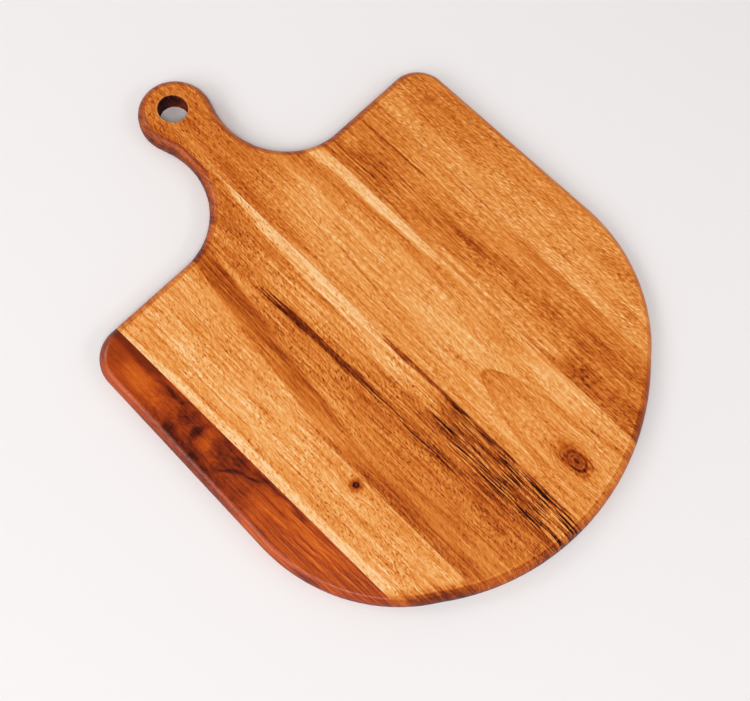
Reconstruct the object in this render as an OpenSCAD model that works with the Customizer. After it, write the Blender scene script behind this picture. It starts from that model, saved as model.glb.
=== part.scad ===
// Pizza paddle board: an edge-glued hardwood panel, cut to a paddle with a short handle.
// The panel is six staves with a thin glue line in each joint. X runs across the staves,
// Y runs along them to the tip of the handle, and Z runs up from the underside.

/* [Board] */
// Length from the round end to the tip of the handle
board_l = 390; // [360:1:440]
// Width at the widest place
body_w = 305; // [270:1:330]
// Thickness of the board
board_t = 15; // [10:0.5:25]
// Length of the body, from the round end to the shoulders
body_l = 287.5; // [265:0.5:300]
// Lean of each side toward the shoulders, in degrees
side_lean = 2.05; // [0.5:0.05:5]
// Radius of the two shoulder corners
corner_r = 22; // [14:1:35]
// Depth of the round end, from the widest place to its tip
end_depth = 130.5; // [122:0.5:145]
// Radius where each side turns into the round end
turn_r = 114; // [70:1:118]

/* [Handle] */
// Diameter of the round head
head_d = 48; // [42:1:60]
// Width of the neck at its narrowest
neck_w = 36.2; // [28:0.1:42]
// Radius of the cove between each shoulder and the neck
cove_r = 49; // [30:1:60]
// Diameter of the hanging hole
hole_d = 19; // [10:0.5:26]
// Distance from the tip of the handle to the axis of the hole
hole_inset = 21.5; // [18:0.5:26]
// Bevel that breaks both rims of the hole
hole_bevel = 0.5; // [0.2:0.1:1.5]

/* [Edges] */
// Radius of the roundover along every outer edge
edge_r = 6.5; // [3:0.5:7]
// Angle at which the roundover leaves the flat faces, in degrees
edge_lead = 12; // [8:1:40]

/* [Staves] */
// Wood between the bevel of the hanging hole and the joint on its left
hole_wall = 0.5; // [0.3:0.1:4]
// Width of the stave along the left edge, before the three left staves are fitted to their room
left_edge_w = 30; // [15:0.5:60]
// Width of the pale stave, before that fitting
pale_w = 38.5; // [20:0.5:70]
// Width of the streaked stave, before that fitting
streaked_w = 73.5; // [40:0.5:85]
// Width of the stave that holds most of the handle
handle_stave_w = 63; // [40:0.5:80]
// Width of the stave right of the handle, while the right edge stave takes the rest
inner_right_w = 48.5; // [20:0.5:70]
// Thickness of each glue line
glue_t = 0.2; // [0.1:0.05:0.5]

/* [Hidden] */
$fn = 64;

// Straight runs of the rim lie this much inside the arcs, so that they cross and don't graze
lap = 0.05;
// How far the roundover's arc goes past the side before it is cut off there, for the same reason
edge_out = 0.02;
// Angles by which the large arc of the round end goes on under the straight runs beside it, and by
// which each turn goes on under the run and the large arc
end_under = 3;
turn_under = 20;
// How far a cutting solid reaches past the board
past = 10;
// How far the arcs and the straight runs stand out past the flat faces before all are cut flush
arc_stand = 6;
run_stand = 3;
// Largest share of the thickness that one roundover may take
edge_share = 0.45;
// Steps of the flat middle's edge along each cove
cove_steps = 7;

// Levels along the board, with the origin at the middle of its length
end_y = -board_l / 2;
shoulder_y = end_y + body_l;
tip_y = board_l / 2;

// Unit vector at an angle
function dir(a) = [cos(a), sin(a)];

// Round end: one large arc, a short straight run on each side of it and then the turns, all tangent
end_run = 11;
turn_c = [body_w / 2 - turn_r, end_y + end_depth];
end_sum = pow(turn_c.x, 2) + pow(end_depth, 2) - pow(turn_r, 2) - pow(end_run, 2);
end_r = end_sum / (2 * (end_depth - turn_r));
end_c = [0, end_y + end_r];
end_way = turn_c - end_c;
end_a = atan2(end_way.y, end_way.x) - acos((end_r - turn_r) / norm(end_way));

// Sides: straight, tangent to the turns, and leaning in to the shoulder corners
side_n = dir(side_lean);
side_reach = turn_c * side_n + turn_r;
corner_y = shoulder_y - corner_r;
corner_c = [(side_reach - corner_r - side_n.y * corner_y) / side_n.x, corner_y];

// Handle: a round head, a short straight neck line on each side, and the coves down to the shoulders
head_r = head_d / 2;
head_c = [0, tip_y - head_r];
head_rise = head_c.y - shoulder_y;
neck_half = neck_w / 2;
// Largest cove that still meets the head
cove_max = head_rise + head_r - neck_half - sqrt(2 * (head_rise + head_r) * (head_r - neck_half));
cove = min(cove_r, cove_max - lap);
cove_c = [neck_half + cove, shoulder_y + cove];
neck_way = cove_c - head_c;
neck_a = atan2(neck_way.y, neck_way.x) + acos((head_r + cove) / norm(neck_way));
neck_n = dir(neck_a);
neck_l = norm(neck_way - (head_r + cove) * neck_n);
hole_c = [0, tip_y - hole_inset];
hole_r = hole_d / 2;

// Roundover: its arc is lifted a little, so it leaves the flat faces at edge_lead
edge = min(edge_r, edge_share * board_t);
edge_lift = edge * (1 - cos(edge_lead));
edge_z = edge - edge_lift;

// Width of the rim that is swept along the coves and the neck, and of the rim along the sides
neck_rim = neck_w - 2 * edge;
side_rim = corner_r;
// How far a straight run goes on under a cove
under_cove = 2 * sqrt(2 * cove * lap);

// Stave joints across the board: the third one clears the hanging hole, and the three staves left
// of it share the room up to the left edge in proportion to their widths
hole_joint = -hole_r - hole_bevel - hole_wall;
left_fit = (hole_joint + body_w / 2) / (left_edge_w + pale_w + streaked_w);
joint_x = [
    hole_joint - left_fit * (streaked_w + pale_w),
    hole_joint - left_fit * streaked_w,
    hole_joint,
    hole_joint + handle_stave_w,
    hole_joint + handle_stave_w + inner_right_w
];

// What the roundover takes off a corner at the origin, with the wood on -x and +y
module edge_waste() {
    difference() {
        translate([edge_out - edge, -past]) square([edge + past, past + edge_z]);
        translate([edge_out - edge, edge_z]) circle(edge);
    }
}

// Section of the rim from an inner place to its outer side, standing out past both faces
module rim_section(inner, outer, stand) {
    difference() {
        translate([inner, -stand]) square([outer - inner, board_t + 2 * stand]);
        for (side = [0, 1]) translate([outer, side * board_t]) mirror([0, side]) edge_waste();
    }
}

// Straight run of rim that faces angle a, w wide, from y0 to y1 along it
module rim_run(a, w, y0, y1) {
    rotate(a) translate([0, y1, 0]) rotate([90, 0, 0]) linear_extrude(y1 - y0)
        rim_section(-w, 0, run_stand);
}

// Turn, side, corner and shoulder on the right of the axis
module right_body_rim() {
    side_l = norm(corner_c + corner_r * side_n - turn_c - turn_r * side_n);
    translate(turn_c + (turn_r - lap) * dir(end_a)) rim_run(end_a, side_rim, -end_run, 0);
    translate(turn_c) rotate_extrude(start = end_a - turn_under, angle = 90 - end_a)
        rim_section(0, turn_r, arc_stand);
    translate(turn_c + (turn_r - lap) * side_n) rim_run(side_lean, side_rim, 0, side_l);
    translate(corner_c) rotate_extrude() rim_section(0, corner_r, arc_stand);
    translate([0, shoulder_y - lap]) rim_run(90, side_rim, -corner_c.x, under_cove - cove_c.x);
}

// Cove and neck line on the right of the axis
module right_neck_rim() {
    translate(cove_c) rotate_extrude(start = 180 + neck_a, angle = 90 - neck_a)
        translate([cove + 2 * lap, 0]) mirror([1, 0]) rim_section(-neck_rim, 0, arc_stand);
    translate(head_c + (head_r - lap) * neck_n) rim_run(neck_a, neck_rim, -neck_l - under_cove, 0);
}

// Flat middle of the board, its edge inside the rim and its lowest point inside the round end
module middle() {
    inset = min(corner_r, neck_half) / 2;
    step_a = (90 - neck_a) / cove_steps;
    right = concat(
        [for (k = [0:cove_steps]) cove_c + (cove + inset) * dir(180 + neck_a + k * step_a)],
        [corner_c + inset / 2 * [1, 1], turn_c + (turn_r - inset) * side_n]
    );
    left = [for (i = [len(right) - 1:-1:0]) [-right[i].x, right[i].y]];
    translate([0, 0, -arc_stand]) linear_extrude(board_t + 2 * arc_stand)
        polygon(concat(right, [[0, end_y + end_depth / 2]], left));
}

// Hole with a bevel at each face
module hanging_hole() {
    translate(hole_c) {
        translate([0, 0, -past]) cylinder(r = hole_r, h = board_t + 2 * past);
        for (side = [0, 1])
            translate([0, 0, side * board_t]) mirror([0, 0, side]) translate([0, 0, -hole_bevel])
                cylinder(r1 = hole_r + 2 * hole_bevel, r2 = hole_r - hole_bevel, h = 3 * hole_bevel);
    }
}

// The whole paddle, before its faces are cut flush and it is divided into staves
module paddle() {
    difference() {
        union() {
            middle();
            for (side = [0, 1]) mirror([side, 0, 0]) {
                right_body_rim();
                right_neck_rim();
            }
            translate(head_c) rotate_extrude() rim_section(0, head_r, arc_stand);
            end_half = 90 + end_a + end_under;
            translate(end_c) rotate_extrude(start = 270 - end_half, angle = 2 * end_half)
                rim_section(0, end_r, arc_stand);
        }
        hanging_hole();
    }
}

// Slice of the paddle between two places across it, with flush faces
module slice(x0, x1) {
    intersection() {
        paddle();
        translate([x0, end_y - past, 0]) cube([x1 - x0, board_l + 2 * past, board_t]);
    }
}

// Stave from one joint to the next, clear of the glue
module stave(i) {
    x0 = i == 0 ? -body_w / 2 - past : joint_x[i - 1] + glue_t / 2;
    x1 = i == len(joint_x) ? body_w / 2 + past : joint_x[i] - glue_t / 2;
    slice(x0, x1);
}

// Film of glue in one joint, flush with the wood all round
module glue_line(i) {
    color("#6b3a18") slice(joint_x[i] - glue_t / 2, joint_x[i] + glue_t / 2);
}

module left_edge_stave() {
    color("#8a3a12") stave(0);
}

module pale_stave() {
    color("#e0a25a") stave(1);
}

module streaked_stave() {
    color("#c9742e") stave(2);
}

module handle_stave() {
    color("#d98a42") stave(3);
}

module inner_right_stave() {
    color("#c4702c") stave(4);
}

module right_edge_stave() {
    color("#d0803a") stave(5);
}

left_edge_stave();
pale_stave();
streaked_stave();
handle_stave();
inner_right_stave();
right_edge_stave();
glue_line(0);  // glue_line_1
glue_line(1);  // glue_line_2
glue_line(2);  // glue_line_3
glue_line(3);  // glue_line_4
glue_line(4);  // glue_line_5
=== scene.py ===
"""Looks of the pizza paddle board: oiled hardwood staves, their glue lines, a pale floor, light and camera.

Places on the wood are in millimetres in the part's own frame: x across the staves, y towards the handle,
z up. Shades of the wood run from 0, black-brown, to 1, cream. The studio is in metres and degrees.
"""

import math

import bpy
from mathutils import Matrix, Vector


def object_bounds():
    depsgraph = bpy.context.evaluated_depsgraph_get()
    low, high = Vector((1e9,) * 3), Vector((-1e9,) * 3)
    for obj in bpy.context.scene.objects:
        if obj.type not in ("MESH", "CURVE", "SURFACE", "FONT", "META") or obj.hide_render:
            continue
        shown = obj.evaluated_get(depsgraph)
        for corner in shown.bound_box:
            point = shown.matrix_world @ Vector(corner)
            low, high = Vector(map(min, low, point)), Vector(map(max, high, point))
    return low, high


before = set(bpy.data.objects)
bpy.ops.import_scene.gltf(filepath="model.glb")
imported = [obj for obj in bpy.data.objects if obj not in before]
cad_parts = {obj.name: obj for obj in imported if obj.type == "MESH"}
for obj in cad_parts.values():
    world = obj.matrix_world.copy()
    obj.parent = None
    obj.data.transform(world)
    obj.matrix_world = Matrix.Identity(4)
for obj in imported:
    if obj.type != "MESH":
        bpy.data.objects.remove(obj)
cad_low, cad_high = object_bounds()

MM = 0.001
BOARD_T = cad_high.z / MM
# Round end: the place of its large arc's centre along the board, and that arc's radius
END_Y = -31.5
END_R = 163.5
# Turn from each side into the round end: its centre on the right, and its radius
TURN_C = (38.5, -64.5)
TURN_R = 114
# Direction from that centre to the place where the turn goes over into the large arc, and half the width of
# the strip there in which their distances are blended
TURN_END = (0.6, -0.8)
TURN_BLEND = 2
# Hanging hole: its place along the board, and its radius
HOLE_Y = 173.5
HOLE_R = 9.5

# Camera, as the photograph was taken
PHOTO_W = 750
CAMERA_AZIMUTH = -75.66
CAMERA_ELEVATION = 74.62
CAMERA_ROLL = 30.13
CAMERA_TARGET = Vector((-18.18, -26.16, 0)) * MM
CAMERA_DISTANCE = 522.3 * MM
CAMERA_NEAR = 0.01
FOCAL_PX = 824.6

# Studio
WHITE = (1, 1, 1, 1)
PALE = (0.871, 0.839, 0.831, 1)
FLOOR_SIZE = 6.0
FLOOR_ROUGH = 0.9
FLOOR_GLOSS = 0.0
# Clearance under the board, so that its underside and the floor don't share a plane
FLOOR_DROP = 0.2 * MM
# Distances from the middle of the board between which the floor passes into the background
FLOOR_FADE = (0.45, 1.3)
# Strength of the soft light from all round
DOME_LEVEL = 0.38
# Dim ceiling that the wood mirrors, and the elevations between which the pale walls pass into it
CEILING = (0.08, 0.08, 0.08, 1)
WALL_TOP = (15, 45)
# Soft lamps: azimuth, elevation, distance, (width, height) and watts
LAMPS = {
    "key": (-45, 62, 3.2, (1.2, 1.2), 34),
    "front": (20, 44, 3.0, (2.0, 0.4), 9),
    "side": (-98, 38, 3.2, (2.6, 1.3), 40),
    "back": (-152, 37, 3.0, (1.0, 0.8), 13),
}

# Sizes of the normal's z between which the flat faces pass into the rounded rim, and between which the rim
# passes into the outermost edge
RIM_TILT = (0.985, 0.95)
EDGE_TILT = (0.85, 0.2)
# How much darker the rim is where it is end grain, from the oil there and from painted shade, and how much
# painted shade darkens the outermost edge
END_GRAIN_OIL_AND_SHADE = 0.16
EDGE_PAINTED_SHADE = 0.10
# Share of the strokes and pores that the rim lacks
RIM_CALM = 0.6
# Painted rim shade on the faces beside the rim of the round end: where that sets in along the board, from
# the right and from the left, how far in from the outline it ends, and how much darker it is
RIM_BAND_Y = (-75, -115)
RIM_BAND_RIGHT = (115, 50)
RIM_BAND_LEFT = (-126, -106)
RIM_BAND_END = (7.0, 6.2)
RIM_BAND_SHADE = 0.10
# Painted highlight line just inside it: its distance from the outline, its half width from full fade to full
# strength, and how much paler it is
HIGHLIGHT_LINE = 7.6
HIGHLIGHT_LINE_HALF = (0.9, 0.2)
HIGHLIGHT_LINE_PALE = 0.04
# Roughness of the oiled wood, and what pores, the hanging hole's wall and the outermost edge add to it
OIL_ROUGH = 0.26
PORE_ROUGH = 0.10
HOLE_WALL_ROUGH = 0.5
EDGE_ROUGH = 0.25
# Relief of the grain, and the share of the lines in it beside the pores
RELIEF_STRENGTH = 0.25
RELIEF_DEPTH = 0.08 * MM
RELIEF_LINES = 0.3
# Glue: how many lines there are, the cells of its clouds, its shade and roughness with the change that the
# clouds make to each, and its gloss
GLUE_LINES = 5
GLUE_CLOUDS, GLUE_SEED = (2, 9, 4), 5
GLUE_SHADE, GLUE_SHADE_BY = 0.36, 0.06
GLUE_ROUGH, GLUE_ROUGH_BY = 0.5, 0.1
GLUE_GLOSS = 0.5

# Tones of the oiled wood by shade, from the black of the streaks to brown, orange, tan and cream sapwood
TONES = [
    (0.04, (22, 8, 4)),
    (0.12, (74, 20, 5)),
    (0.24, (126, 46, 7)),
    (0.36, (168, 74, 15)),
    (0.47, (201, 106, 32)),
    (0.59, (225, 138, 59)),
    (0.71, (241, 171, 96)),
    (0.83, (249, 206, 152)),
]

# Sockets of the node that mixes two colours
MIX_FIRST, MIX_SECOND, MIX_RESULT = 6, 7, 2
# Places in the noise that seeds are apart, and the gain that brings it to about -1 to 1
SEED_STEP = (7.3, 3.1, 5.7)
NOISE_GAIN = 2.5


def linear(rgb):
    """Colour on a 0 to 255 screen scale as the linear values that a shader takes."""
    out = []
    for value in rgb:
        c = value / 255
        out.append(c / 12.92 if c <= 0.04045 else ((c + 0.055) / 1.055) ** 2.4)
    return (*out, 1.0)


class Field:
    """A number that varies over a surface: one output of a node, with arithmetic that adds nodes."""

    def __init__(self, nodes, socket):
        self.nodes = nodes
        self.socket = socket

    def __add__(self, other):
        return self.nodes.math("ADD", self, other)

    def __sub__(self, other):
        return self.nodes.math("SUBTRACT", self, other)

    def __rsub__(self, other):
        return self.nodes.math("SUBTRACT", other, self)

    def __mul__(self, other):
        return self.nodes.math("MULTIPLY", self, other)

    def __truediv__(self, other):
        return self.nodes.math("DIVIDE", self, other)

    def __abs__(self):
        return self.nodes.math("ABSOLUTE", self)


class Nodes:
    """A node tree that starts empty, with shorthands for what is added to it."""

    def __init__(self, tree):
        self.tree = tree
        tree.nodes.clear()

    def add(self, kind, **settings):
        node = self.tree.nodes.new(kind)
        for key, value in settings.items():
            setattr(node, key, value)
        return node

    def feed(self, socket, value):
        """Links a field or an output to a socket, or sets its value."""
        if isinstance(value, Field):
            value = value.socket
        if isinstance(value, bpy.types.NodeSocket):
            self.tree.links.new(value, socket)
        else:
            socket.default_value = value

    def fill(self, node, *values):
        """Feeds the first sockets of a node in order, and returns its first output."""
        for socket, value in zip(node.inputs, values):
            self.feed(socket, value)
        return node.outputs[0]

    def math(self, operation, *values):
        return Field(self, self.fill(self.add("ShaderNodeMath", operation=operation), *values))

    def split(self, vector):
        node = self.add("ShaderNodeSeparateXYZ")
        self.fill(node, vector)
        return [Field(self, out) for out in node.outputs]

    def join(self, x, y, z):
        return self.fill(self.add("ShaderNodeCombineXYZ"), x, y, z)

    def smooth(self, value, low, high):
        """0 at low and 1 at high, with a soft step between them."""
        node = self.add("ShaderNodeMapRange", interpolation_type="SMOOTHSTEP")
        return Field(self, self.fill(node, value, low, high))

    def mix(self, share, first, second, way="MIX"):
        """Two colours mixed."""
        node = self.add("ShaderNodeMix", data_type="RGBA", blend_type=way)
        self.feed(node.inputs[0], share)
        self.feed(node.inputs[MIX_FIRST], first)
        self.feed(node.inputs[MIX_SECOND], second)
        return node.outputs[MIX_RESULT]

    def seen_rays(self):
        """1 for rays that show a thing, directly or in gloss or glass, and 0 for rays that light others."""
        path = self.add("ShaderNodeLightPath")
        seen = path.outputs["Is Camera Ray"]
        for name in ("Is Glossy Ray", "Is Transmission Ray"):
            seen = self.math("MAXIMUM", seen, path.outputs[name])
        return seen

    def principled(self, colour, roughness, gloss):
        shader = self.add("ShaderNodeBsdfPrincipled")
        self.feed(shader.inputs["Base Color"], colour)
        self.feed(shader.inputs["Roughness"], roughness)
        self.feed(shader.inputs["Specular IOR Level"], gloss)
        return shader

    def either(self, share, first, second):
        """The first shader where share is 0 and the second where it is 1."""
        return self.fill(self.add("ShaderNodeMixShader"), share, first, second)

    def show(self, shader, output="ShaderNodeOutputMaterial"):
        """Makes a shader the result of the tree."""
        self.feed(self.add(output).inputs[0], shader)


class Surface(Nodes):
    """A new material, with the place on the board as fields in millimetres."""

    def __init__(self, name):
        self.material = bpy.data.materials.new(name)
        self.material.use_nodes = True
        super().__init__(self.material.node_tree)
        coords = self.add("ShaderNodeTexCoord")
        scale = self.add("ShaderNodeVectorMath", operation="SCALE")
        self.feed(scale.inputs[0], coords.outputs["Object"])
        scale.inputs["Scale"].default_value = 1 / MM
        self.place = scale.outputs[0]
        self.x, self.y, self.z = self.split(self.place)
        self.normal = self.split(coords.outputs["Normal"])

    def noise(self, point, cell, seed, detail=2.0, rough=0.5, swirl=0.0):
        """Noise around 0, about -1 to 1, with cells of that size in millimetres."""
        spot = self.add("ShaderNodeVectorMath", operation="MULTIPLY_ADD")
        self.fill(spot, point, [1 / c for c in cell], [seed * step for step in SEED_STEP])
        node = self.add("ShaderNodeTexNoise")
        self.feed(node.inputs["Vector"], spot.outputs[0])
        self.feed(node.inputs["Scale"], 1.0)
        self.feed(node.inputs["Detail"], detail)
        self.feed(node.inputs["Roughness"], rough)
        self.feed(node.inputs["Distortion"], swirl)
        return (Field(self, node.outputs[0]) - 0.5) * NOISE_GAIN

    def tones(self, shade):
        """Colour of the oiled wood at a shade."""
        node = self.add("ShaderNodeValToRGB")
        self.feed(node.inputs[0], shade)
        points = node.color_ramp.elements
        while len(points) < len(TONES):
            points.new(0.5)
        for point, (place, rgb) in zip(points, TONES):
            point.position = place
            point.color = linear(rgb)
        return node.outputs[0]


class Wood(Surface):
    """The material of one stave: its grain, and the marks that are laid over it."""

    # Cells of the noises that bend the lines, how far they bend them, and the cells of the marks' swirl
    SWAY, SWAY_BY = (60, 45, 60), 0.8
    WAVER, WAVER_BY = (7, 18, 30), 0.6
    SWIRL = (14, 18, 14)
    # Cells of the grain: broad changes of tone, wide and fine lines, strokes, dots, and where both are dense
    BROAD = (12, 120, 14)
    WIDE = (3.2, 80, 8)
    FINE = (1.1, 30, 4)
    STROKES = (0.85, 3.7, 1.2)
    DOTS = (0.9, 2.3, 1.2)
    DENSE = (9, 26, 14)
    # Strength of the wide lines beside the fine ones
    WIDE_SHARE = 0.6
    # Noise between which dots become pores, and between which strokes and pores become dense
    PORED = (0.1, 0.5)
    CROWDED = (-0.6, 0.6)
    # Strength of pores and of strokes where they are sparse, and what is added where they are dense
    PORE_SPARSE, PORE_DENSE = 0.4, 0.9
    STROKE_SPARSE, STROKE_DENSE = 0.7, 0.5
    # Mean of the pores, which is taken off so that they don't darken the wood as a whole
    PORE_MEAN = 0.2
    # Depth of the cells of broken pieces and of ink, how much density adds to ink's noise, and the noise
    # between which ink sets in
    DEEP = 4
    INK_DENSE = 0.8
    INKED = (0.55, 0.95)
    # Cells of a knot's ragged outline, and how far it strays
    RAGGED, RAGGED_BY = (2.5, 3.5, 5), 0.14

    def __init__(self, name, seed, lean, bends=(), warp=0):
        super().__init__(name)
        self.seed = seed
        # 1 on the rounded rim and 0 on the flat faces
        self.rounded = self.smooth(abs(self.normal[2]), *RIM_TILT)
        # The growth rings lean, so marks shift sideways from the serving face to the underside
        self.u = self.x + (self.z - BOARD_T) * math.tan(math.radians(lean))
        self.v = self.y
        self.u = self.u + self.noise(self.place, self.SWAY, seed, detail=1.0) * self.SWAY_BY
        self.u = self.u + self.noise(self.place, self.WAVER, seed + 7, detail=1.0) * self.WAVER_BY
        # Lines part round a knot
        for centre, radii, share in bends:
            self.u = self.u - (self.u - centre[0]) * self.patch(centre, radii) * share
        self.line = self.u
        self.point = self.join(self.u, self.y, self.z)
        # Marks, but not lines, swirl
        if warp:
            self.u = self.u + self.noise(self.place, self.SWIRL, seed + 8) * warp
            self.v = self.y + self.noise(self.place, self.SWIRL, seed + 9) * warp

    def along(self, *points):
        """A number that changes along the board, through (y, value) points in rising y."""
        first, last = points[0][0], points[-1][0]
        low = min(value for _, value in points)
        high = max(value for _, value in points)
        node = self.add("ShaderNodeFloatCurve")
        curve = node.mapping.curves[0]
        while len(curve.points) < len(points):
            curve.points.new(0.5, 0.5)
        for spot, (y, value) in zip(curve.points, points):
            spot.location = ((y - first) / (last - first), (value - low) / (high - low))
            spot.handle_type = "AUTO_CLAMPED"
        node.mapping.update()
        way = self.add("ShaderNodeMapRange", clamp=True)
        self.feed(node.inputs["Value"], self.fill(way, self.y, first, last))
        return Field(self, node.outputs[0]) * (high - low) + low

    def length(self, x, y):
        return self.math("SQRT", x * x + y * y)

    def patch(self, centre, radii):
        """1 in the middle of a soft oval and 0 outside it."""
        dx = (self.u - centre[0]) / radii[0]
        dy = (self.v - centre[1]) / radii[1]
        return self.smooth(dx * dx + dy * dy, 1.0, 0.0)

    def streak(self, start, end, half, fade=0.2):
        """1 along a soft line from start, the upper end, to end."""
        way = (start[1] - self.v) / (start[1] - end[1])
        centre = way * (end[0] - start[0]) + start[0]
        side = self.smooth(abs(self.u - centre), half, 0.0)
        return side * self.smooth(way, 0.0, fade) * self.smooth(way, 1.0, 1.0 - fade)

    def band(self, centre, half, soft):
        """1 within half of a centre line, with a soft edge. Both may be fields."""
        return self.smooth(abs(self.u - centre) - half, soft, -soft)

    def pieces(self, cell, seed, low, high):
        """0 to 1 in broken pieces, for marks that come and go."""
        return self.smooth(self.noise(self.point, (*cell, self.DEEP), seed), low, high)

    def ink(self, cell, seed, dense):
        """Dark lines along the stave, few where dense is 0 and run together where it is 1 or more."""
        spread = self.noise(self.point, (*cell, self.DEEP), seed, detail=1.0) + dense * self.INK_DENSE
        return self.smooth(spread, *self.INKED)

    def marked(self, base, patches=(), streaks=()):
        """Base plus each patch (centre, radii, change) and each streak (start, end, half width, change)."""
        total = base
        for centre, radii, change in patches:
            total = self.patch(centre, radii) * change + total
        for start, end, half, change in streaks:
            total = self.streak(start, end, half) * change + total
        return total

    def grain(self, base, lines, flecks, pores, tone=0.05, slant=0.0):
        """Base shade with broad changes of tone, lines along the stave, slanted strokes and dark pores."""
        broad = self.noise(self.point, self.BROAD, self.seed + 1)
        wide = self.noise(self.point, self.WIDE, self.seed + 3, detail=1.0)
        self.lines = self.noise(self.point, self.FINE, self.seed + 2, detail=1.0)
        leaning = self.join(self.line - self.y * slant, self.y, self.z)
        strokes = self.noise(leaning, self.STROKES, self.seed + 4, detail=1.0)
        dots = self.noise(leaning, self.DOTS, self.seed + 5, detail=1.0)
        dense = self.smooth(self.noise(self.point, self.DENSE, self.seed + 6), *self.CROWDED)
        strokes = strokes * (dense * self.STROKE_DENSE + self.STROKE_SPARSE)
        self.pores = self.smooth(dots, *self.PORED) * (dense * self.PORE_DENSE + self.PORE_SPARSE)
        streaky = broad * tone + wide * (lines * self.WIDE_SHARE) + self.lines * lines
        marks = strokes * flecks - (self.pores - self.PORE_MEAN) * pores
        return streaky + marks * (1 - self.rounded * RIM_CALM) + base

    def knot(self, centre, radii, seed):
        """Distance from a knot's centre in its own radii, with a ragged outline."""
        dx = (self.x - centre[0]) / radii[0]
        dy = (self.y - centre[1]) / radii[1]
        return self.length(dx, dy) + self.noise(self.place, self.RAGGED, seed) * self.RAGGED_BY

    def from_edge(self):
        """Distance in from the outline of the round end."""
        end = END_R - self.length(self.x, self.y - END_Y)
        dx, dy = abs(self.x) - TURN_C[0], self.y - TURN_C[1]
        turn = TURN_R - self.length(dx, dy)
        beside = self.smooth(dy * TURN_END[0] - dx * TURN_END[1], -TURN_BLEND, TURN_BLEND)
        return turn * beside + end * (1 - beside)

    def painted_rim_band(self, shade):
        """Shade with painted rim shade and a painted highlight line on the faces beside the rim of the round
        end, between its turns.
        """
        near = (1 - self.rounded) * self.smooth(self.y, *RIM_BAND_Y)
        near = near * self.smooth(self.x, *RIM_BAND_RIGHT) * self.smooth(self.x, *RIM_BAND_LEFT)
        inside = self.from_edge()
        line = self.smooth(abs(inside - HIGHLIGHT_LINE), *HIGHLIGHT_LINE_HALF)
        shade = shade - near * self.smooth(inside, *RIM_BAND_END) * RIM_BAND_SHADE
        return shade + near * line * HIGHLIGHT_LINE_PALE

    def finish(self, shade, tint=(1.0, 1.0, 1.0), rim=0.05, shaded_hole_wall=0.0, gloss=0.25):
        """Turns a shade into the oiled surface, with painted shade on the rounded rim and the outermost
        edge, most on end grain, which its oil darkens too.
        """
        _, ny, nz = self.normal
        edge = self.smooth(abs(nz), *EDGE_TILT)
        # Painted shade: rim darkens the rounded rim, and lightens it where negative; end grain gets more,
        # partly for its oil, and the outermost edge more again
        shade = shade - self.rounded * (abs(ny) * END_GRAIN_OIL_AND_SHADE + rim) - edge * EDGE_PAINTED_SHADE
        colour = self.mix(1.0, self.tones(self.painted_rim_band(shade)), (*tint, 1), "MULTIPLY")
        rough = self.pores * PORE_ROUGH + shaded_hole_wall * HOLE_WALL_ROUGH + edge * EDGE_ROUGH + OIL_ROUGH
        shader = self.principled(colour, rough, gloss)
        bump = self.add("ShaderNodeBump")
        bump.inputs["Strength"].default_value = RELIEF_STRENGTH
        bump.inputs["Distance"].default_value = RELIEF_DEPTH
        self.feed(bump.inputs["Height"], self.lines * RELIEF_LINES - self.pores)
        self.feed(shader.inputs["Normal"], bump.outputs[0])
        self.show(shader.outputs[0])
        return self.material


# The figure of each stave: marks that run from 0 to 1, each times the change that it makes to the shade


def left_edge_wood():
    """Dark red-brown heartwood, clouded in its middle and lined towards the round end."""
    w = Wood("left_edge_wood", seed=11, lean=25, warp=3.5)
    zone = w.along((-45, 0), (-15, 1), (28, 1), (56, 0))
    cloud = w.noise(w.place, (9, 15, 10), 12, detail=3.0, rough=0.55, swirl=0.8)
    curl = w.smooth(abs(w.noise(w.place, (8, 11, 9), 13, swirl=0.6)), 0.14, 0.0)
    lined = w.smooth(w.y, -10, -60)
    shade = w.grain(base=0.35, lines=0.06, flecks=0.05, pores=0.02, tone=0.03)
    shade = shade + w.lines * lined * 0.12 + zone * (cloud * 0.13 - curl * 0.05 - 0.07)
    shade = w.marked(
        shade,
        patches=[
            ((-134, 54), (10, 22), 0.08),
            ((-135, 80), (9, 12), -0.05),
            ((-136, 14), (10, 16), -0.05),
            ((-131, -84), (12, 44), 0.06),
            ((-137, 34), (6, 7), 0.05),
            ((-135, 5), (7, 6), 0.09),
            ((-129, 7), (5, 5), 0.06),
            ((-144, 6), (4, 24), -0.08),
            ((-141, 25), (5, 7), -0.08),
            ((-132.5, 13), (7, 3.4), -0.12),
            ((-129, 23), (7, 7), -0.06),
            ((-128, -4), (8, 7), -0.07),
            ((-127, -19), (6, 8), -0.09),
            ((-138, -43), (7, 12), 0.04),
            ((-147, -92), (3.6, 12), -0.10),
            ((-150, 5), (4.5, 24), -0.03),
        ],
        streaks=[
            ((-139, -6), (-124.5, -38), 1.5, -0.15),
            ((-124.2, -28), (-124, -74), 3.0, -0.16),
            ((-127, 54), (-125.5, 24), 2.0, -0.10),
            ((-124, 98), (-123.5, 46), 6.5, -0.14),
            ((-141, -58), (-138, -104), 1.0, -0.07),
            ((-135.5, -52), (-134.5, -114), 1.1, -0.08),
            ((-132.5, -64), (-132, -112), 0.9, -0.08),
            ((-130, -46), (-129.5, -120), 1.0, -0.07),
            ((-127, -75), (-126, -128), 0.9, -0.06),
        ],
    )
    return w.finish(shade, tint=(1.14, 0.89, 0.48), rim=-0.02, gloss=0.36)


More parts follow.
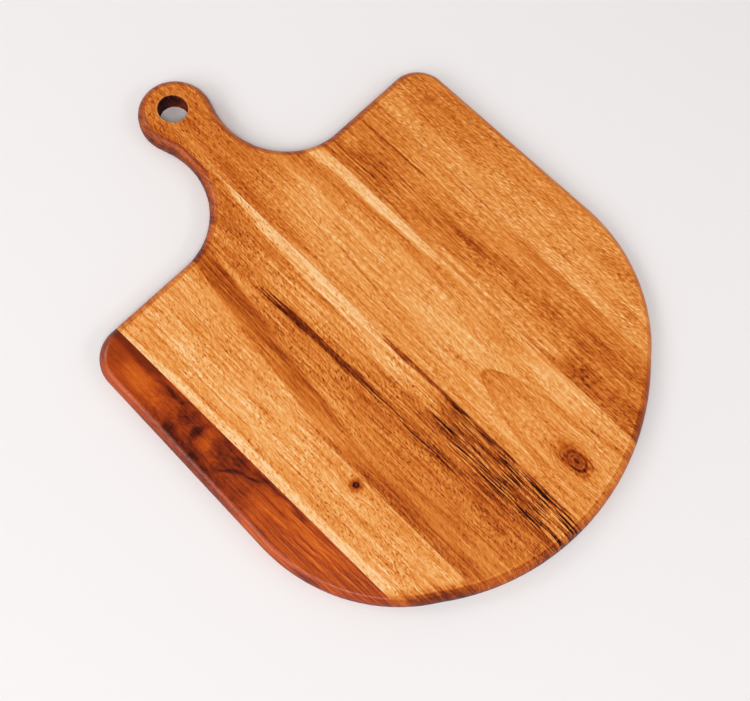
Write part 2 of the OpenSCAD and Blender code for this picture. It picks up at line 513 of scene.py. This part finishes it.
def pale_wood():
    """Golden stave with a cream strip along its left joint and a small knot."""
    knot = (-89.3, -75.5)
    w = Wood("pale_wood", seed=23, lean=12, bends=[(knot, (9, 16), 0.5)])
    cream_w = w.along((-135, 5.6), (-40, 5.8), (30, 5.2), (60, 4), (92, 2))
    cream = w.band(-122.5, cream_w, 1.2)
    shade = w.marked(
        w.grain(base=0.625, lines=0.14, flecks=0.16, pores=0.20, slant=0.15) + cream * 0.14,
        patches=[
            ((-103, 30), (9, 50), 0.07),
            ((-114, -60), (4, 80), -0.04),
            ((-105, -55), (6, 40), 0.04),
            ((-88, 40), (10, 50), -0.03),
        ],
        streaks=[
            ((-118.8, 92), (-119.2, 30), 0.9, -0.10),
            ((-116, 90), (-116, -10), 0.8, -0.07),
            ((-112.6, 94), (-112.8, 8), 1.0, -0.13),
            ((-109, 90), (-109.4, -20), 1.0, -0.13),
            ((-107.7, -22), (-108, -62), 0.9, -0.15),
            ((-105.2, 94), (-105.5, 12), 0.9, -0.11),
            ((-102.5, 72), (-102.6, 0), 0.8, -0.07),
            ((-90, 72), (-90.4, 18), 1.0, -0.08),
            ((-86.5, 62), (-86.6, 22), 0.9, -0.09),
            ((-110.5, -38), (-110.6, -104), 0.9, -0.08),
            ((-104.5, -58), (-104.6, -112), 0.8, -0.07),
        ],
    )
    # The knot has a dark ring round a paler heart, and spokes of dark wood
    away = w.knot(knot, (2.2, 2.2), 27)
    bearing = w.join((w.x - knot[0]) / away, (w.y - knot[1]) / away, 0.0)
    spokes = w.noise(bearing, (0.9, 0.9, 1), 28)
    shade = shade - w.smooth(away, 2.9, 0.9) * 0.18 - w.smooth(away + spokes * 0.8, 3.2, 1.0) * 0.08
    shade = shade - w.smooth(away, 1.1, 0.6) * 0.22 + w.smooth(away, 0.5, 0.2) * 0.10
    # Handling has darkened the face along the rim of the left turn
    inside = TURN_R - w.length(w.x + TURN_C[0], w.y - TURN_C[1]) + w.lines * 1.5
    shade = shade - w.smooth(inside, 11, 4) * w.smooth(w.y, -118, -138) * 0.24
    return w.finish(shade, rim=0.08)


def streaked_wood():
    """Orange-brown stave with black streaks and a cream strip along the handle's joint."""
    w = Wood("streaked_wood", seed=37, lean=-15)
    # A darker figure crosses the upper half at a slant, with lines along it
    upper = w.smooth(w.y, -75, -35)
    edge = w.y * 0.16 - 76
    pale = w.smooth(w.u - edge, 2, -2) * upper
    dark = w.band(edge + 7, 7, 3) * upper
    light = w.band(edge + 18, 3.5, 3) * upper
    slanted = w.noise(w.join(w.u - edge, w.y, w.z), (1.3, 45, 4), 43, detail=1.0)
    slanted = slanted * w.band(edge + 10, 13, 4) * upper
    # That figure and the left of the lower half have few strokes and pores
    plain = dark + w.band(-71, 9, 5) * (1 - upper) * 0.8
    flecks = 0.18 - plain * 0.09
    pores = 0.21 - plain * 0.13
    shade = w.grain(base=0.485, lines=0.17, flecks=flecks, pores=pores, slant=0.25)
    shade = shade + pale * 0.12 - dark * 0.09 + light * 0.05 + slanted * 0.12
    # The cream strip lies along the handle's joint
    cream_w = w.along(
        (-88, 10), (-70, 15), (-40, 16), (-20, 13), (0, 10.5),
        (30, 9.5), (60, 8), (80, 6), (118, 1.5), (135, 0),
    )
    cream_lift = w.along(
        (-88, 0), (-65, 0.12), (-40, 0.17), (-20, 0.20), (20, 0.25), (120, 0.25), (135, 0)
    )
    shade = shade + w.smooth(w.u + 10.5 + cream_w + w.lines * 0.8, -1.2, 1.2) * cream_lift
    shade = w.marked(
        shade,
        patches=[
            ((-30, 105), (14, 24), -0.04),
            ((-29, 22), (11, 66), 0.11),
            ((-76, -22), (8, 40), 0.08),
            ((-55, 30), (7, 36), -0.07),
            ((-47, -100), (8, 40), 0.04),
            ((-18, 155), (14, 40), -0.05),
            # The next two paint shade on the rim of the neck's left side
            ((-26, 164), (8, 26), -0.06),
            ((-21.5, 142), (5, 20), -0.06),
        ],
        streaks=[
            ((-80.5, -55), (-80.5, -178), 5, -0.10),
            ((-76.2, -66), (-76.6, -172), 1.5, -0.12),
            ((-52, 88), (-58, 20), 1.2, -0.06),
            ((-29, 80), (-29.5, -20), 0.9, -0.10),
            ((-24, 100), (-24.5, 20), 0.9, -0.12),
            ((-36, 40), (-36.5, -60), 0.8, -0.10),
            ((-33, -30), (-33.4, -100), 0.9, -0.10),
        ],
    )
    # Painted shade darkens the rim of the neck and the head
    shade = shade - w.rounded * w.smooth(w.y, 105, 128) * 0.07
    # Black strands towards the round end, darkest in clumps
    strands = w.math(
        "MAXIMUM",
        w.pieces((0.95, 30), 45, -0.12, 0.28),
        w.pieces((0.8, 26), 46, -0.08, 0.32),
    )
    many = w.band(-22, 11, 4) * w.along((-195, 1), (-112, 1), (-90, 0.75), (-70, 0.3), (-52, 0))
    few = w.band(-41, 8, 5) * w.along((-195, 0.6), (-100, 0.7), (-70, 0.4), (-40, 0))
    clumps = w.marked(
        w.band(-29.5, 1.6, 1.6) * w.along((-195, 0.8), (-125, 0.8), (-98, 0)),
        patches=[
            ((-14.5, -93), (5, 11), 0.6),
            ((-22, -142), (4.5, 9), 0.8),
            ((-29, -134), (6, 20), 0.6),
            ((-36, -136), (4, 24), 0.5),
            ((-26, -92), (3, 18), 0.6),
            ((-12, -118), (3, 22), 0.5),
            ((-14, -136), (5, 16), 0.6),
            ((-15, -156), (6, 24), 1.0),
            ((-15, -184), (6, 14), 0.9),
            ((-22, -166), (4, 6), 0.5),
        ],
    )
    shade = shade + many * 0.09 - strands * (many * 0.34 + few * 0.20) - clumps * (strands * 0.24 + 0.06)
    # One long streak right of the middle of the stave, and one beside the handle's joint
    long_x = w.along((-120, -41), (-50, -41.7), (0, -42.6), (50, -43.6), (60, -43.8))
    long_dense = w.along(
        (-125, 0), (-100, 0.9), (-55, 0.9), (-25, 1.5), (20, 1.5), (42, 1.0), (58, 0)
    )
    shade = shade - w.ink((0.7, 22), 47, w.band(long_x, 2.4, 1.2) * long_dense) * 0.30
    joint_x = w.along((-150, -11.6), (-110, -11.4), (-75, -11.2), (-50, -11.8), (-18, -13.2))
    joint_dense = w.along(
        (-150, 0), (-125, 1.0), (-95, 1.2), (-75, 1.5), (-40, 1.4), (-22, 1.0), (-12, 0)
    )
    shade = shade - w.ink((0.8, 14), 48, w.band(joint_x, 1.9, 1.0) * joint_dense) * 0.30
    return w.finish(shade, rim=0.04)


def handle_wood():
    """Tan stave with arched figure and a large knot near the round end."""
    knot = (16.3, -163.5)
    w = Wood("handle_wood", seed=41, lean=5, bends=[(knot, (14, 26), 0.55)])
    # Browner on the handle than on the body
    tone = w.along(
        (-190, 0.585), (-80, 0.62), (20, 0.62), (40, 0.62),
        (70, 0.60), (110, 0.515), (130, 0.495), (190, 0.495),
    )
    shade = w.grain(base=tone, lines=0.14, flecks=0.18, pores=0.14, slant=0.08)
    # Cathedral figure: arches that open towards the round end
    dx = w.u - 17
    arch = w.y + dx * dx / 6.2
    low = w.smooth(w.y, -70, -84)
    rings = w.noise(w.join(arch, 0.0, w.z), (5, 1, 30), 44) * low * w.smooth(abs(dx), 24, 14)
    first = w.smooth(abs(arch + 84.5), 2.2, 0.0) * w.smooth(w.y, -150, -100) * 0.08
    inner = w.smooth(arch, -82, -86) * w.smooth(arch, -124, -88) * 0.09
    others = w.smooth(abs(arch + 127), 1.5, 0.0) * 0.05 + w.smooth(abs(arch + 138), 1.7, 0.0) * 0.06
    # A cream band runs down the right of the stave, with a redder one beside it
    cream_x = w.along((-20, 49.5), (60, 48.5), (92, 46))
    cream_w = w.along((-60, 0.5), (-10, 2), (30, 3.2), (92, 3.6))
    cream = w.band(cream_x, cream_w, 1.3) * w.along((-65, 0.03), (-20, 0.06), (5, 0.16), (94, 0.16))
    red_x = w.along((-60, 44), (20, 42), (95, 36))
    red_w = w.along((-60, 3), (20, 3.5), (95, 4.5))
    red = w.band(red_x, red_w, 2.5) * w.along((-75, 0), (-20, 0.04), (20, 0.09), (95, 0.09))
    shade = w.marked(
        shade + rings * 0.05 - first - inner - others + cream - red,
        patches=[
            ((22, -45), (16, 50), 0.05),
            ((-5, 82), (7, 60), -0.09),
            ((21, 72), (10, 28), 0.06),
            ((7, -110), (6, 90), 0.03),
            ((45, -130), (9, 60), 0.05),
        ],
        streaks=[
            ((11.5, 40), (6, -8), 1.2, -0.16),
            ((44, 30), (44.5, -8), 0.8, -0.16),
            ((-6, 80), (-6.4, -40), 1.0, -0.06),
            ((-2, 40), (-2, -80), 1.0, -0.05),
            ((3, -20), (3, -120), 1.0, -0.05),
            ((2, -140), (2, -188), 0.9, -0.08),
            ((5.4, -150), (5, -190), 0.8, -0.08),
            ((25.5, -172), (25.8, -190), 0.8, -0.08),
            ((30, -160), (31, -190), 0.9, -0.07),
            ((37, -140), (38.5, -186), 1.0, -0.07),
        ],
    )
    # The knot has rings that are darker on its lower side, round a black heart
    away = w.knot(knot, (0.95, 1.6), 48)
    below = w.smooth(w.y, -163, -169)
    shade = shade - w.smooth(away, 13, 3) * 0.19 - w.patch((15, -151), (7, 14)) * 0.07
    for reach, half, depth in ((2.8, 0.8, 0.05), (4.7, 1.4, 0.14), (7.2, 1.0, 0.03)):
        shade = shade - w.smooth(abs(away - reach), half, 0.1) * depth * (below + 1)
    shade = shade - w.smooth(w.knot(knot, (1.0, 2.0), 50), 1.9, 0.5) * 0.33
    # Painted shade darkens the wall of the hanging hole, which is rougher too, and its bevel is made paler
    # again against the painted rim shade
    out = w.length(w.x, w.y - HOLE_Y) - HOLE_R
    shaded_hole_wall = w.smooth(out, 0.15, 0.03)
    bevel = w.smooth(out, 1.0, 0.8) - shaded_hole_wall
    return w.finish(shade - shaded_hole_wall * 0.10 + bevel * 0.12, shaded_hole_wall=shaded_hole_wall)


def inner_right_wood():
    """Orange-brown stave, lined near the shoulder and mottled towards the round end."""
    w = Wood("inner_right_wood", seed=53, lean=-20)
    shade = w.grain(base=0.52, lines=0.16, flecks=0.19, pores=0.14, slant=-0.12)
    mottle = w.pieces((5, 9), 55, -0.3, 0.7)
    upper = w.smooth(w.y, 5, 35)
    lined = w.pieces((1.3, 60), 56, -0.1, 0.6) * upper * w.smooth(w.u, 84, 76)
    mid_x = w.along((-62, 80), (-40, 78), (-8, 72), (18, 65))
    mid = w.band(mid_x, 3.5, 3.5) * w.along((-75, 0), (-55, 1), (8, 1), (24, 0)) * (mottle * 0.5 + 0.5)
    low = w.smooth(w.u, 90, 83) * w.smooth(w.y, -104, -124)
    spots = w.patch((59, -131), (9, 16)) + w.patch((77, -89), (9, 13)) * 0.7
    spots = spots * w.pieces((1.5, 4), 57, -0.1, 0.4)
    pale = w.band(59, 5, 3) * w.along((-116, 0), (-100, 1), (-65, 1), (-40, 0))
    shade = shade - lined * 0.13 - mid * 0.14 - low * (mottle * 0.06 + 0.06) - spots * 0.17 + pale * 0.06
    shade = w.marked(
        shade,
        patches=[
            ((75, -88), (9, 16), -0.05),
            ((95, -10), (8, 90), 0.06),
            ((55, -30), (5, 30), 0.08),
            ((65, -92), (8, 20), -0.06),
            ((76, 6), (7, 16), -0.05),
        ],
        streaks=[
            ((55, 92), (55.5, 22), 0.9, -0.15),
            ((57.6, 90), (57.8, 30), 0.8, -0.12),
            ((60, 92), (60, 40), 1.1, -0.18),
            ((63.2, 92), (62.4, 34), 0.9, -0.14),
            ((66.5, 85), (65, 28), 1.0, -0.16),
            ((71, 70), (70.5, 25), 0.9, -0.10),
            ((84, 92), (86, 22), 1.3, -0.20),
            ((62, -12), (63, -30), 1.0, -0.10),
            ((92, -60), (92, -150), 0.9, -0.06),
            ((96, -40), (96.5, -150), 0.9, -0.06),
        ],
    )
    return w.finish(shade)


def right_edge_wood():
    """Orange stave, paler and flecked along its inner joint."""
    w = Wood("right_edge_wood", seed=67, lean=18)
    outer = w.smooth(w.u, 116, 132)
    lower = w.smooth(w.y, 40, -10)
    shade = w.marked(
        w.grain(base=0.55, lines=0.12, flecks=0.23, pores=0.14, slant=-0.2) + lower * 0.06 - outer * 0.05,
        patches=[
            ((128, 68), (6, 8), -0.05),
            ((105, -65), (8, 70), 0.07),
            ((112, 35), (10, 30), 0.04),
            ((140, -20), (12, 50), -0.02),
        ],
        streaks=[
            ((117.5, 68), (114.5, 30), 1.1, -0.13),
            ((105, 60), (105, 20), 0.9, -0.06),
            ((109, 80), (109, 10), 0.9, -0.05),
            ((136.5, 86), (139, 60), 0.9, -0.09),
            ((108.5, -30), (109.5, -42), 0.9, -0.10),
            ((102.5, -20), (102.5, -150), 1.0, -0.05),
            ((112, -60), (113, -75), 1.2, -0.07),
        ],
    )
    return w.finish(shade, rim=0.03)


def glue():
    """Cured glue that has taken up oil and dust."""
    g = Surface("glue")
    cloud = g.noise(g.place, GLUE_CLOUDS, GLUE_SEED)
    colour = g.tones(cloud * GLUE_SHADE_BY + GLUE_SHADE)
    shader = g.principled(colour, cloud * GLUE_ROUGH_BY + GLUE_ROUGH, GLUE_GLOSS)
    g.show(shader.outputs[0])
    return g.material


def dress(node, material):
    """Gives a CAD node its material."""
    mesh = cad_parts[node].data
    mesh.materials.clear()
    mesh.materials.append(material)


def make_floor():
    """Pale floor that takes the board's shadow and passes into the pale background away from it."""
    mesh = bpy.data.meshes.new("floor")
    half = FLOOR_SIZE / 2
    corners = [(x * half, y * half, -FLOOR_DROP) for x, y in ((-1, -1), (1, -1), (1, 1), (-1, 1))]
    mesh.from_pydata(corners, [], [(0, 1, 2, 3)])
    floor = bpy.data.objects.new("floor", mesh)
    bpy.context.scene.collection.objects.link(floor)
    material = bpy.data.materials.new("floor")
    material.use_nodes = True
    n = Nodes(material.node_tree)
    away = n.add("ShaderNodeVectorMath", operation="LENGTH")
    n.feed(away.inputs[0], n.add("ShaderNodeTexCoord").outputs["Object"])
    far = n.smooth(away.outputs["Value"], *FLOOR_FADE)
    lit = n.principled(PALE, FLOOR_ROUGH, FLOOR_GLOSS).outputs[0]
    pale = n.fill(n.add("ShaderNodeEmission"), PALE)
    n.show(n.either(far * n.seen_rays(), lit, pale))
    mesh.materials.append(material)


def make_world():
    """Soft light from all round, and a studio with pale walls and a dim ceiling to be seen and mirrored."""
    world = bpy.data.worlds.new("studio")
    bpy.context.scene.world = world
    world.use_nodes = True
    n = Nodes(world.node_tree)
    light = n.fill(n.add("ShaderNodeBackground"), WHITE, DOME_LEVEL)
    _, _, height = n.split(n.add("ShaderNodeTexCoord").outputs["Generated"])
    rise = n.smooth(height, *(math.sin(math.radians(angle)) for angle in WALL_TOP))
    studio = n.fill(n.add("ShaderNodeBackground"), n.mix(rise, PALE, CEILING), 1.0)
    n.show(n.either(n.seen_rays(), light, studio), "ShaderNodeOutputWorld")


def direction(azimuth, elevation):
    """Unit vector from the board to what stands there."""
    a = math.radians(azimuth)
    e = math.radians(elevation)
    return Vector((math.sin(a) * math.cos(e), -math.cos(a) * math.cos(e), math.sin(e)))


def make_lamp(name, azimuth, elevation, distance, size, watts):
    """Soft lamp that looks at the middle of the board from that side."""
    back = direction(azimuth, elevation)
    lamp = bpy.data.lights.new(name, "AREA")
    lamp.shape = "RECTANGLE"
    lamp.size, lamp.size_y = size
    lamp.energy = watts
    obj = bpy.data.objects.new(name, lamp)
    obj.location = back * distance
    obj.rotation_mode = "QUATERNION"
    obj.rotation_quaternion = (-back).to_track_quat("-Z", "Y")
    bpy.context.scene.collection.objects.link(obj)


def make_camera():
    """Camera at the place and with the lens of the photograph."""
    back = direction(CAMERA_AZIMUTH, CAMERA_ELEVATION)
    azimuth = math.radians(CAMERA_AZIMUTH)
    roll = math.radians(CAMERA_ROLL)
    level = Vector((math.cos(azimuth), math.sin(azimuth), 0))
    upright = back.cross(level)
    right = level * math.cos(roll) + upright * math.sin(roll)
    up = upright * math.cos(roll) - level * math.sin(roll)
    turn = Matrix((right, up, back)).transposed().to_4x4()
    data = bpy.data.cameras.new("camera")
    data.lens = FOCAL_PX * data.sensor_width / PHOTO_W
    data.clip_start = CAMERA_NEAR
    camera = bpy.data.objects.new("camera", data)
    camera.matrix_world = Matrix.Translation(CAMERA_TARGET + back * CAMERA_DISTANCE) @ turn
    bpy.context.scene.collection.objects.link(camera)
    bpy.context.scene.camera = camera


dress("left_edge_stave", left_edge_wood())
dress("pale_stave", pale_wood())
dress("streaked_stave", streaked_wood())
dress("handle_stave", handle_wood())
dress("inner_right_stave", inner_right_wood())
dress("right_edge_stave", right_edge_wood())
glue_film = glue()
for number in range(1, GLUE_LINES + 1):
    dress(f"glue_line_{number}", glue_film)

make_floor()
make_world()
for lamp_name, lamp_settings in LAMPS.items():
    make_lamp(lamp_name, *lamp_settings)
make_camera()
bpy.context.scene.view_settings.view_transform = "Standard"
